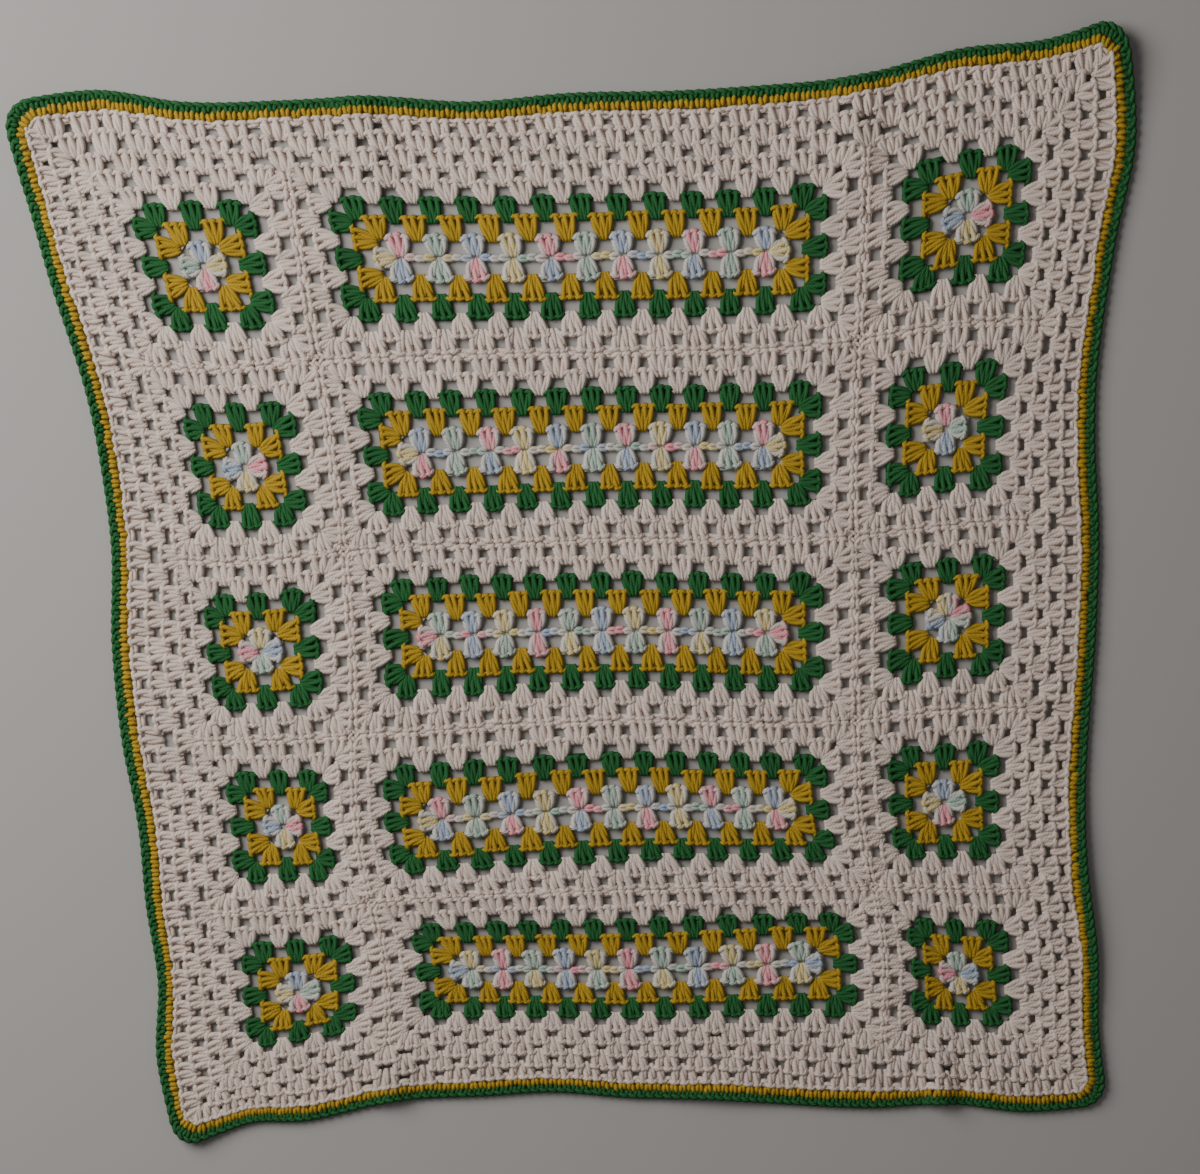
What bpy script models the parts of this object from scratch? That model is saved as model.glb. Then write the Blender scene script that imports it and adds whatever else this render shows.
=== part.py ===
"""A crochet blanket laid flat: five courses of a granny square, a long granny rectangle and another
square, joined in white yarn, with a white border and two narrow edgings. Metres, +Z up.

The pattern is drawn in a chart, whose unit is one stitch repeat (three double crochets and a
chain). A lattice of measured places bends the chart to the outline of the blanket as it lies.
"""

import bmesh
import bpy
import numpy as np
from mathutils import Vector
from mathutils.geometry import delaunay_2d_cdt

MM = 0.001

# Sizes of the cloth in millimetres
THICKNESS = {"panel": 4.0, "border": 4.2, "edging_gold": 4.2, "edging_green": 5.0}

# Sizes of the chart in stitch repeats, each about 25 mm
SEAM = 0.018  # clear gap between two pieces
COLUMNS = (-10.3, 0.0, 10.3)  # middles of the left squares, the rectangles and the right squares
COURSES = (10.6, 5.3, 0.0, -5.3, -10.6)  # middles of the five courses, from the top down
HALF = 2.65  # half of a square panel
LONG = 5.0  # half of what a rectangle is longer by
EDGE = (COLUMNS[2] + HALF, COURSES[0] + HALF)  # half sizes of the joined panels
ROUND_TOPS = (0.68, 1.20, 1.72, 2.20, HALF)  # from a panel's middle to the top of each round
BORDER_OUT, GOLD_OUT, GREEN_OUT = 1.35, 1.55, 1.87  # outer edge of each outer piece, past EDGE
CORNER_SHARE = 0.45  # corner radius as a share of how far out a loop lies
STATION, STATION_REACH = 0.75, 15.75  # step between the points along an edge, and how far they go
CREASE_STEPS = (-1.0, -0.5, 0.0, 0.5, 1.0)  # points across a crease, as shares of its half width
END_CLEAR = 0.3  # how near such a point may come to an end of its edge
MIDDLE = (-0.5, 0.9)  # middle of the whole outline on the lattice, in millimetres

# The lattice: rows from top to bottom, at chart height v, each with the place in millimetres of
# seven columns: left edge, left squares, left join, rectangles, right join, right squares, right edge
LATTICE_U = (-14.8, -10.3, -7.65, 0.0, 7.65, 10.3, 14.8)
LATTICE = (
    # v, (x, y) of each column
    (15.1, (-396, 325), (-286, 341), (-212, 341), (-6, 343), (206, 360), (278, 378), (388, 391)),
    (10.6, (-368, 222), (-258, 222), (-190, 226), (10, 229), (204, 241), (277, 257), (384, 257)),
    (5.3, (-325, 88), (-229, 81), (-168, 87), (14, 95), (197, 100), (261, 108), (367, 112)),
    (0.0, (-312, -46), (-218, -48), (-154, -41), (21, -33), (198, -32), (263, -24), (367, -20)),
    (-5.3, (-303, -172), (-202, -170), (-151, -169), (29, -157), (201, -157), (260, -153), (361, -151)),
    (-10.6, (-290, -291), (-192, -286), (-130, -275), (40, -270), (219, -267), (270, -273), (371, -271)),
    (-15.1, (-266, -392), (-191, -375), (-130, -363), (46, -359), (214, -367), (274, -367), (370, -360)),
)

# How far each hem stands out from the lattice in millimetres, at places along its side given as a
# share of half its length: from left to right along the top and bottom, and up the two sides
HEM_REACH = 0.4  # how far inside the joined panels a wave begins, in repeats
HEM_WAVES = (
    # place, top, right, bottom, left
    (-1.00, 10, 5, 5, 10),
    (-0.83, 10, -3, -5, 10),
    (-0.67, -4, -3, 2, -2),
    (-0.50, -3, -4, 0, 0),
    (-0.33, 0, -2, 1, 1),
    (-0.17, -4, -1, -2, 8),
    (0.00, 0, 0, 1, 10),
    (0.17, -1, 2, 0, 6),
    (0.33, -1, -1, 0, 6),
    (0.50, -3, -4, 0, 2),
    (0.67, -2, -2, -3, 1),
    (0.83, -5, 8, 5, 1),
    (1.00, 8, -1, 5, 5),
)

# Soft folds and lifted hems: middle (u, v), direction of the fold in degrees, half length and half
# width in repeats, and height in millimetres. Outside them the underside lies flat at zero.
FOLDS = (
    # name, u, v, degrees, half length, half width, height
    ("lifted corner, top left", -14.6, 14.9, 45.0, 2.6, 2.2, 9.0),
    ("rolled corner, top right", 14.6, 14.9, -45.0, 2.4, 2.0, 8.0),
    ("crease, top left", -5.4, 14.6, 92.0, 3.4, 0.85, 5.0),
    ("crease, top right", 7.4, 14.4, 88.0, 3.6, 0.9, 4.5),
    ("crease, bottom right", 9.6, -14.8, 93.0, 2.6, 0.6, 6.0),
    ("crease, bottom left", -7.5, -14.9, 86.0, 2.4, 0.8, 4.0),
    ("lifted hem, left", -15.0, 6.5, 90.0, 4.0, 0.9, 3.5),
    ("lifted hem, right", 15.0, -8.5, 90.0, 4.5, 0.9, 3.5),
    ("wave, bottom", 2.5, -15.2, 0.0, 2.2, 0.9, 2.5),
    ("lifted corner, bottom left", -14.7, -15.0, -45.0, 1.8, 1.5, 4.0),
)

# Gaps cut through, as (along, out) from the middle of the gap's foot, in repeats. A panel gap lies
# between two clusters above the top of the round below, and a middle gap beside the first chain.
PANEL_GAP = ((-0.21, 0.03), (0.0, 0.06), (0.21, 0.03), (0.10, 0.29), (-0.10, 0.29))
MIDDLE_GAP = ((-0.21, 0.10), (0.21, 0.10), (0.18, 0.33), (0.09, 0.47), (-0.09, 0.47), (-0.18, 0.33))

# Yarn colours of the nodes, linear
WHITE = (0.66, 0.62, 0.58)
GOLD = (0.61, 0.36, 0.05)
GREEN = (0.012, 0.17, 0.05)


def slope_weights(knots):
    """Weights of the knots' values in the slope at each knot of a smooth curve through them."""
    k = np.asarray(knots, float)
    n = len(k)
    s = np.zeros((n, n))
    s[0, :2] = np.array((-1.0, 1.0)) / (k[1] - k[0])
    s[-1, -2:] = np.array((-1.0, 1.0)) / (k[-1] - k[-2])
    for j in range(1, n - 1):
        a, b = k[j] - k[j - 1], k[j + 1] - k[j]
        s[j, j - 1 : j + 2] = (-b / (a * (a + b)), (b - a) / (a * b), a / (b * (a + b)))
    return s


def curve_weights(knots, x):
    """Weights of the knots' values at each x, for knots that rise. Past the ends the curve is straight."""
    k = np.asarray(knots, float)
    x = np.asarray(x, float)
    slopes = slope_weights(k)
    i = np.clip(np.searchsorted(k, x) - 1, 0, len(k) - 2)
    step = (k[i + 1] - k[i])[:, None]
    raw = (x - k[i])[:, None] / step
    t = np.clip(raw, 0.0, 1.0)
    one = np.eye(len(k))
    w = (2 * t**3 - 3 * t**2 + 1) * one[i] + (3 * t**2 - 2 * t**3) * one[i + 1]
    w += step * ((t**3 - 2 * t**2 + t) * slopes[i] + (t**3 - t**2) * slopes[i + 1])
    past = (raw - t) * step
    return w + past * np.where(raw > 1, slopes[i + 1], slopes[i])


def smooth_step(x):
    t = np.clip(x, 0.0, 1.0)
    return t * t * (3 - 2 * t)


def warp(chart):
    """Places in millimetres of points of the chart, hems included."""
    chart = np.asarray(chart, float)
    u, v = chart[:, 0], chart[:, 1]
    rows = sorted(LATTICE)
    wv = curve_weights([row[0] for row in rows], v)
    wu = curve_weights(LATTICE_U, u)
    places = np.einsum("ni,nj,ijc->nc", wv, wu, np.array([row[1:] for row in rows], float))
    waves = np.array(HEM_WAVES, float)
    far_u, far_v = EDGE[0] + GREEN_OUT, EDGE[1] + GREEN_OUT
    for number, (along, out, axis, sign) in enumerate((
        (u / far_u, v - EDGE[1], 1, 1),
        (v / far_v, u - EDGE[0], 0, 1),
        (u / far_u, -v - EDGE[1], 1, -1),
        (v / far_v, -u - EDGE[0], 0, -1),
    )):
        shift = curve_weights(waves[:, 0], np.clip(along, -1, 1)) @ waves[:, number + 1]
        places[:, axis] += sign * shift * smooth_step((out + HEM_REACH) / (GREEN_OUT + HEM_REACH))
    return places - MIDDLE


def lift(chart):
    """Height in millimetres of the underside at points of the chart."""
    chart = np.asarray(chart, float)
    height = np.zeros(len(chart))
    for _, u, v, degrees, half_length, half_width, top in FOLDS:
        c, s = np.cos(np.radians(degrees)), np.sin(np.radians(degrees))
        du, dv = chart[:, 0] - u, chart[:, 1] - v
        along, across = (du * c + dv * s) / half_length, (dv * c - du * s) / half_width
        height += top * np.clip(1 - along**2, 0, 1) ** 2 * np.clip(1 - across**2, 0, 1) ** 2
    return height


def stations(low, high, across):
    """Places along an edge from low to high: regular steps, and on an edge that runs across the
    blanket closer ones where a crease meets it. None but the ends lies close to an end."""
    count = int(STATION_REACH / STATION)
    steps = np.arange(-count, count + 1) * STATION
    inner = []
    for name, middle, _, _, _, half_width, _ in FOLDS:
        if across and name.startswith("crease"):
            steps = steps[abs(steps - middle) > half_width * 1.1]
            inner += [middle + half_width * share for share in CREASE_STEPS]
    inner += list(steps)
    inner = [place for place in inner if low + END_CLEAR < place < high - END_CLEAR]
    return [low, *sorted(inner), high]


def rectangle_loop(u0, v0, half_u, half_v):
    """Points of the chart round a rectangle, counter-clockwise."""
    across = stations(u0 - half_u, u0 + half_u, True)
    up = stations(v0 - half_v, v0 + half_v, False)
    loop = [(u, v0 - half_v) for u in across[:-1]]
    loop += [(u0 + half_u, v) for v in up[:-1]]
    loop += [(u, v0 + half_v) for u in across[:0:-1]]
    loop += [(u0 - half_u, v) for v in up[:0:-1]]
    return loop


def ring_loop(out, corner_steps=5):
    """Points of the chart round the joined panels at a distance, with rounded corners past a seam."""
    half_u, half_v = EDGE[0] + out, EDGE[1] + out
    if out <= SEAM:
        return rectangle_loop(0.0, 0.0, half_u, half_v)
    radius = out * CORNER_SHARE
    across = stations(-half_u + radius, half_u - radius, True)
    up = stations(-half_v + radius, half_v - radius, False)
    loop = []
    sides = (
        ([(u, -half_v) for u in across], (half_u - radius, -half_v + radius), -90),
        ([(half_u, v) for v in up], (half_u - radius, half_v - radius), 0),
        ([(u, half_v) for u in across[::-1]], (-half_u + radius, half_v - radius), 90),
        ([(-half_u, v) for v in up[::-1]], (-half_u + radius, -half_v + radius), 180),
    )
    for side, middle, start in sides:
        loop += side
        for step in range(1, corner_steps):
            angle = np.radians(start + 90 * step / corner_steps)
            loop.append((middle[0] + radius * np.cos(angle), middle[1] + radius * np.sin(angle)))
    return loop


def cloth(name, loops, thickness, colour):
    """One solid of cloth between loops of the chart. The first loop is its outline, and each other one
    is ("hole", points) or ("line", points), a line only giving the cloth points to bend at."""
    chart, edges = [], []
    for _, points in loops:
        first = len(chart)
        chart += points
        edges += [(first + i, first + (i + 1) % len(points)) for i in range(len(points))]
    flat = warp(chart)
    result = delaunay_2d_cdt([Vector(p) for p in flat], edges, [], 1, 1e-5)
    source = [ids[0] for ids in result[3]]
    faces = np.array([[source[i] for i in face] for face in result[2]])
    middles = flat[faces].mean(axis=1)
    kept = np.ones(len(faces), bool)
    for kind, points in loops:
        if kind == "hole":
            kept &= ~within(middles, warp(points))
    bottom = lift(chart)

    mesh = bmesh.new()
    verts = [mesh.verts.new((x * MM, y * MM, z * MM)) for (x, y), z in zip(flat, bottom)]
    for face in faces[kept]:
        mesh.faces.new([verts[i] for i in face])
    bmesh.ops.recalc_face_normals(mesh, faces=mesh.faces)
    made = bmesh.ops.extrude_face_region(mesh, geom=mesh.faces[:])
    top = [part for part in made["geom"] if isinstance(part, bmesh.types.BMVert)]
    bmesh.ops.translate(mesh, vec=(0.0, 0.0, thickness * MM), verts=top)
    bmesh.ops.recalc_face_normals(mesh, faces=mesh.faces)

    data = bpy.data.meshes.new(name)
    mesh.to_mesh(data)
    mesh.free()
    piece = bpy.data.objects.new(name, data)
    bpy.context.scene.collection.objects.link(piece)
    material = bpy.data.materials.new(name)
    material.use_nodes = True
    shader = material.node_tree.nodes["Principled BSDF"]
    shader.inputs["Base Color"].default_value = (*colour, 1.0)
    shader.inputs["Roughness"].default_value = 0.95
    data.materials.append(material)
    return piece


def within(places, loop):
    """Whether each place lies within a closed loop, by how often a line from it crosses the loop."""
    x, y = places[:, :1], places[:, 1:]
    ends = np.roll(loop, -1, axis=0)
    over = (loop[:, 1] > y) != (ends[:, 1] > y)
    rise = np.where(ends[:, 1] == loop[:, 1], 1.0, ends[:, 1] - loop[:, 1])
    crossing = loop[:, 0] + (y - loop[:, 1]) * (ends[:, 0] - loop[:, 0]) / rise
    return ((over & (x < crossing)).sum(axis=1) % 2).astype(bool)


def side_point(side, along, out, u0, v0, long):
    """A chart point given along a panel's side and out from its middle. Side 0 is the top, then clockwise."""
    return {
        0: (u0 + along, v0 + out),
        1: (u0 + long + out, v0 - along),
        2: (u0 - along, v0 - out),
        3: (u0 - long - out, v0 + along),
    }[side]


def panel(name, u0, v0, long):
    """A granny square, or a rectangle where long is over 0, with its larger gaps cut through."""
    half = HALF - SEAM / 2
    loops = [("outline", rectangle_loop(u0, v0, half + long, half))]
    ring = ROUND_TOPS[3]
    loops.append(("line", rectangle_loop(u0, v0, ring + long, ring)))
    foot = ROUND_TOPS[1]
    kinds = (
        # gap, how many on a side, where their feet lie
        (PANEL_GAP, 2 + int(2 * long), foot),
        (MIDDLE_GAP, int(2 * long), 0.0),
    )
    for side in (0, 2) if long else (0, 1, 2, 3):
        for gap, count, base in kinds:
            for i in range(count):
                middle = i - (count - 1) / 2
                points = [side_point(side, middle + a, base + o, u0, v0, long) for a, o in gap]
                loops.append(("hole", points))
    return cloth(name, loops, THICKNESS["panel"], WHITE)


def clear_scene():
    for old in list(bpy.data.objects):
        bpy.data.objects.remove(old, do_unlink=True)


def main():
    clear_scene()
    for course, v0 in enumerate(COURSES, 1):
        panel(f"square_left_{course}", COLUMNS[0], v0, 0.0)
        panel(f"rectangle_{course}", COLUMNS[1], v0, LONG)
        panel(f"square_right_{course}", COLUMNS[2], v0, 0.0)
    rings = (
        # name, inner edge, lines to bend at, outer edge, colour
        ("border", 0.0, (0.45, 0.90), BORDER_OUT, WHITE),
        ("edging_gold", BORDER_OUT, (), GOLD_OUT, GOLD),
        ("edging_green", GOLD_OUT, (), GREEN_OUT, GREEN),
    )
    for name, inner, lines, outer, colour in rings:
        loops = [("outline", ring_loop(outer - (SEAM / 2 if outer < GREEN_OUT else 0.0)))]
        loops.append(("hole", ring_loop(inner + SEAM / 2)))
        loops += [("line", ring_loop(line)) for line in lines]
        cloth(name, loops, THICKNESS[name], colour)


main()
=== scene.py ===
"""The crochet blanket as it lies: every group of three double crochets, the chains, the joins and the two
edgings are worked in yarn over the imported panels. Metres, +Z up.

Places are drawn in a chart whose unit is one stitch repeat, and a lattice bends the chart to the cloth.
"""

import logging
import sys
from collections.abc import Callable
from dataclasses import dataclass, field
from enum import Enum
from functools import cache

import bmesh
import bpy
import numpy as np
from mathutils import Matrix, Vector
from mathutils.geometry import delaunay_2d_cdt


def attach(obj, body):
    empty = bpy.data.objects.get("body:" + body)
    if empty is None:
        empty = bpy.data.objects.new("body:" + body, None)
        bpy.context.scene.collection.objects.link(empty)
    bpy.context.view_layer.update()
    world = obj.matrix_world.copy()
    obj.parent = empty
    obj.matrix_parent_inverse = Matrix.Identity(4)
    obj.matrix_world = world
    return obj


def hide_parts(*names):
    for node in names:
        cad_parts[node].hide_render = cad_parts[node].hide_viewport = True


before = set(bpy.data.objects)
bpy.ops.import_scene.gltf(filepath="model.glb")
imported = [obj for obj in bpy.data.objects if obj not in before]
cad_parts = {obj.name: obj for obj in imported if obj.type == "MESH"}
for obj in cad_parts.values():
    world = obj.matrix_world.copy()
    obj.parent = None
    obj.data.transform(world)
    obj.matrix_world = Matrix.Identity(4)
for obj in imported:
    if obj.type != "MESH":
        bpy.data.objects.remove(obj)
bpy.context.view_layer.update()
log = logging.getLogger("blanket")

MM = 0.001

# Sizes of the chart in stitch repeats
COLUMNS = (-10.3, 0.0, 10.3)  # middles of the left squares, the rectangles and the right squares
COURSES = (10.6, 5.3, 0.0, -5.3, -10.6)  # middles of the five courses, from the top down
HALF = 2.65  # half of a square panel
LONG = 5.0  # half of what a rectangle is longer by
EDGE = (COLUMNS[2] + HALF, COURSES[0] + HALF)  # half sizes of the joined panels
SEAM = 0.018  # clear gap between two pieces
ROUND_TOPS = (0.68, 1.20, 1.72, 2.20, HALF)  # from a panel's middle to the top of each round
YARN_TOPS = ROUND_TOPS[:3]  # the tops where the next round is of another yarn
BORDER_OUT, GOLD_OUT, GREEN_OUT = 1.35, 1.55, 1.87  # outer edge of each outer piece, past EDGE
BORDER_STEP = 0.45  # height of one round of the border
CORNER_SHARE = 0.45  # corner radius as a share of how far out a loop lies
MIDDLE = (-0.5, 0.9)  # middle of the whole outline on the lattice, in millimetres
SIDE_STEP, CORNER_STEPS = 0.75, 6  # step along a loop's straight sides, and steps of a rounded corner
FINE_STEP, FINE_CORNER = 0.2, 16  # the same where a loop is measured or stitches are spaced on it
SHARP = 0.02  # corner radius under which a corner stays square
SIDES = 4  # corners of a ring of yarn
NEAR = 1e-6  # what counts as no distance

# The lattice: rows from top to bottom, at chart height v, each with the place in millimetres of
# seven columns: left edge, left squares, left join, rectangles, right join, right squares, right edge
LATTICE_U = (-14.8, -10.3, -7.65, 0.0, 7.65, 10.3, 14.8)
LATTICE = (
    # v, (x, y) of each column
    (15.1, (-396, 325), (-286, 341), (-212, 341), (-6, 343), (206, 360), (278, 378), (388, 391)),
    (10.6, (-368, 222), (-258, 222), (-190, 226), (10, 229), (204, 241), (277, 257), (384, 257)),
    (5.3, (-325, 88), (-229, 81), (-168, 87), (14, 95), (197, 100), (261, 108), (367, 112)),
    (0.0, (-312, -46), (-218, -48), (-154, -41), (21, -33), (198, -32), (263, -24), (367, -20)),
    (-5.3, (-303, -172), (-202, -170), (-151, -169), (29, -157), (201, -157), (260, -153), (361, -151)),
    (-10.6, (-290, -291), (-192, -286), (-130, -275), (40, -270), (219, -267), (270, -273), (371, -271)),
    (-15.1, (-266, -392), (-191, -375), (-130, -363), (46, -359), (214, -367), (274, -367), (370, -360)),
)

# How far each hem stands out from the lattice in millimetres, at places along its side given as a
# share of half its length: from left to right along the top and bottom, and up the two sides
HEM_REACH = 0.4  # how far inside the joined panels a wave begins, in repeats
HEM_WAVES = (
    # place, top, right, bottom, left
    (-1.00, 10, 5, 5, 10),
    (-0.83, 10, -3, -5, 10),
    (-0.67, -4, -3, 2, -2),
    (-0.50, -3, -4, 0, 0),
    (-0.33, 0, -2, 1, 1),
    (-0.17, -4, -1, -2, 8),
    (0.00, 0, 0, 1, 10),
    (0.17, -1, 2, 0, 6),
    (0.33, -1, -1, 0, 6),
    (0.50, -3, -4, 0, 2),
    (0.67, -2, -2, -3, 1),
    (0.83, -5, 8, 5, 1),
    (1.00, 8, -1, 5, 5),
)

# Soft folds and lifted hems: middle (u, v), direction of the fold in degrees, half length and half
# width in repeats, and height in millimetres
FOLDS = (
    # name, u, v, degrees, half length, half width, height
    ("lifted corner, top left", -14.6, 14.9, 45.0, 2.6, 2.2, 9.0),
    ("lifted corner, top right", 14.6, 14.9, -45.0, 2.4, 2.0, 8.0),
    ("crease, top left", -5.4, 14.6, 92.0, 3.4, 0.85, 5.0),
    ("crease, top right", 7.4, 14.4, 88.0, 3.6, 0.9, 4.5),
    ("crease, bottom right", 9.6, -14.8, 93.0, 2.6, 0.6, 6.0),
    ("crease, bottom left", -7.5, -14.9, 86.0, 2.4, 0.8, 4.0),
    ("lifted hem, left", -15.0, 6.5, 90.0, 4.0, 0.9, 3.5),
    ("lifted hem, right", 15.0, -8.5, 90.0, 4.5, 0.9, 3.5),
    ("wave, bottom", 2.5, -15.2, 0.0, 2.2, 0.9, 2.5),
    ("lifted corner, bottom left", -14.7, -15.0, -45.0, 1.8, 1.5, 4.0),
)


class Slot(Enum):
    """The yarns of the blanket, in the order of the material slots of each piece."""

    WHITE = 0
    GOLD = 1
    GREEN = 2
    PASTEL = 3


class Side(Enum):
    """The sides of a panel or of the border, clockwise: the way along the side and the way out of it."""

    TOP = ((1.0, 0.0), (0.0, 1.0))
    RIGHT = ((0.0, -1.0), (1.0, 0.0))
    BOTTOM = ((-1.0, 0.0), (0.0, -1.0))
    LEFT = ((0.0, 1.0), (-1.0, 0.0))

    @property
    def level(self) -> bool:
        """Whether the side runs across the blanket."""
        return self.value[0][1] == 0.0

    def place(self, along: float, out: float, middle: tuple[float, float]) -> tuple[float, float]:
        """A chart point given along the side and out from a middle.

        Args:
            along: How far clockwise along the side.
            out: How far out.
            middle: Chart point that both are counted from.

        Returns:
            The chart point.
        """
        (ax, ay), (ox, oy) = self.value
        return middle[0] + along * ax + out * ox, middle[1] + along * ay + out * oy


def slope_weights(knots: np.ndarray) -> np.ndarray:
    """Weights of the knots' values in the slope at each knot of a smooth curve through them.

    Args:
        knots: Rising places of the knots.

    Returns:
        A square matrix, one row for each knot's slope.
    """
    n = len(knots)
    weights = np.zeros((n, n))
    weights[0, :2] = np.array((-1.0, 1.0)) / (knots[1] - knots[0])
    weights[-1, -2:] = np.array((-1.0, 1.0)) / (knots[-1] - knots[-2])
    for j in range(1, n - 1):
        a, b = knots[j] - knots[j - 1], knots[j + 1] - knots[j]
        weights[j, j - 1 : j + 2] = (-b / (a * (a + b)), (b - a) / (a * b), a / (b * (a + b)))
    return weights


def curve_weights(knots: np.ndarray, x: np.ndarray) -> np.ndarray:
    """Weights of the knots' values at each x. Past the ends the curve is straight.

    Args:
        knots: Rising places of the knots.
        x: Places where the curve is wanted.

    Returns:
        One row of weights for each place.
    """
    slopes = slope_weights(knots)
    i = np.clip(np.searchsorted(knots, x) - 1, 0, len(knots) - 2)
    step = (knots[i + 1] - knots[i])[:, None]
    raw = (x - knots[i])[:, None] / step
    t = np.clip(raw, 0.0, 1.0)
    one = np.eye(len(knots))
    weights = (2 * t**3 - 3 * t**2 + 1) * one[i] + (3 * t**2 - 2 * t**3) * one[i + 1]
    weights += step * ((t**3 - 2 * t**2 + t) * slopes[i] + (t**3 - t**2) * slopes[i + 1])
    return weights + (raw - t) * step * np.where(raw > 1, slopes[i + 1], slopes[i])


def ease(x: np.ndarray) -> np.ndarray:
    """A smooth step from 0 to 1 as x goes from 0 to 1."""
    t = np.clip(x, 0.0, 1.0)
    return t * t * (3 - 2 * t)


def unit(rows: np.ndarray) -> np.ndarray:
    """The rows, each as a vector of length 1."""
    return rows / np.linalg.norm(rows, axis=1, keepdims=True)


@dataclass(frozen=True)
class Chart:
    """The stitch chart, bent to the cloth as it lies."""

    repeat: float = 25.0  # millimetres of one stitch repeat, where the cloth isn't drawn together
    stations: int = 40  # points that a length is measured through

    def warp(self, places: np.ndarray) -> np.ndarray:
        """Places in millimetres of chart points, hems included.

        Args:
            places: One chart point a row.

        Returns:
            One place (x, y) a row.
        """
        u, v = places[:, 0], places[:, 1]
        rows = sorted(LATTICE)
        down = curve_weights(np.array([row[0] for row in rows]), v)
        across = curve_weights(np.array(LATTICE_U), u)
        lattice = np.array([row[1:] for row in rows], float)
        flat = np.stack([((down @ lattice[:, :, axis]) * across).sum(axis=1) for axis in (0, 1)], axis=1)
        waves = np.array(HEM_WAVES, float)
        far_u, far_v = EDGE[0] + GREEN_OUT, EDGE[1] + GREEN_OUT
        hems = (
            # place along the hem, how far past the panels, axis of the wave, its sign
            (u / far_u, v - EDGE[1], 1, 1),
            (v / far_v, u - EDGE[0], 0, 1),
            (u / far_u, -v - EDGE[1], 1, -1),
            (v / far_v, -u - EDGE[0], 0, -1),
        )
        for number, (along, out, axis, sign) in enumerate(hems):
            shift = curve_weights(waves[:, 0], np.clip(along, -1, 1)) @ waves[:, number + 1]
            flat[:, axis] += sign * shift * ease((out + HEM_REACH) / (GREEN_OUT + HEM_REACH))
        return flat - MIDDLE

    def lift(self, places: np.ndarray) -> np.ndarray:
        """Height in millimetres of the underside at chart points.

        Args:
            places: One chart point a row.

        Returns:
            One height for each point.
        """
        height = np.zeros(len(places))
        for _, u, v, degrees, half_length, half_width, top in FOLDS:
            c, s = np.cos(np.radians(degrees)), np.sin(np.radians(degrees))
            du, dv = places[:, 0] - u, places[:, 1] - v
            along, across = (du * c + dv * s) / half_length, (dv * c - du * s) / half_width
            height += top * np.clip(1 - along**2, 0, 1) ** 2 * np.clip(1 - across**2, 0, 1) ** 2
        return height

    def place(self, points: np.ndarray) -> np.ndarray:
        """Places in millimetres of points given as chart u, chart v and height over the underside.

        Args:
            points: An array whose last axis is (u, v, height in millimetres).

        Returns:
            An array of the same shape with (x, y, z) in millimetres.
        """
        flat = points.reshape(-1, 3)
        xy = self.warp(flat[:, :2])
        z = flat[:, 2] + self.lift(flat[:, :2])
        return np.column_stack((xy, z)).reshape(points.shape)

    def length(self, start: tuple[float, float], end: tuple[float, float]) -> float:
        """Length in metres of a straight chart line on the cloth.

        Args:
            start: Chart point where the line begins.
            end: Chart point where it ends.

        Returns:
            The length along the bent line.
        """
        share = np.linspace(0.0, 1.0, self.stations)[:, None]
        line = self.warp(np.array(start) * (1 - share) + np.array(end) * share)
        return float(np.linalg.norm(np.diff(line, axis=0), axis=1).sum()) * MM


def add_node(
    tree: bpy.types.NodeTree, kind: str, values: dict | None = None, **options: str | bool
) -> bpy.types.Node:
    """Adds a node to a material.

    Args:
        tree: Node tree of the material.
        kind: The node's type, without the prefix that they all share.
        values: Values of its inputs.
        options: Its other settings.

    Returns:
        The node.
    """
    node = tree.nodes.new("ShaderNode" + kind)
    for key, option in options.items():
        setattr(node, key, option)
    for key, value in (values or {}).items():
        node.inputs[key].default_value = value
    return node


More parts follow.
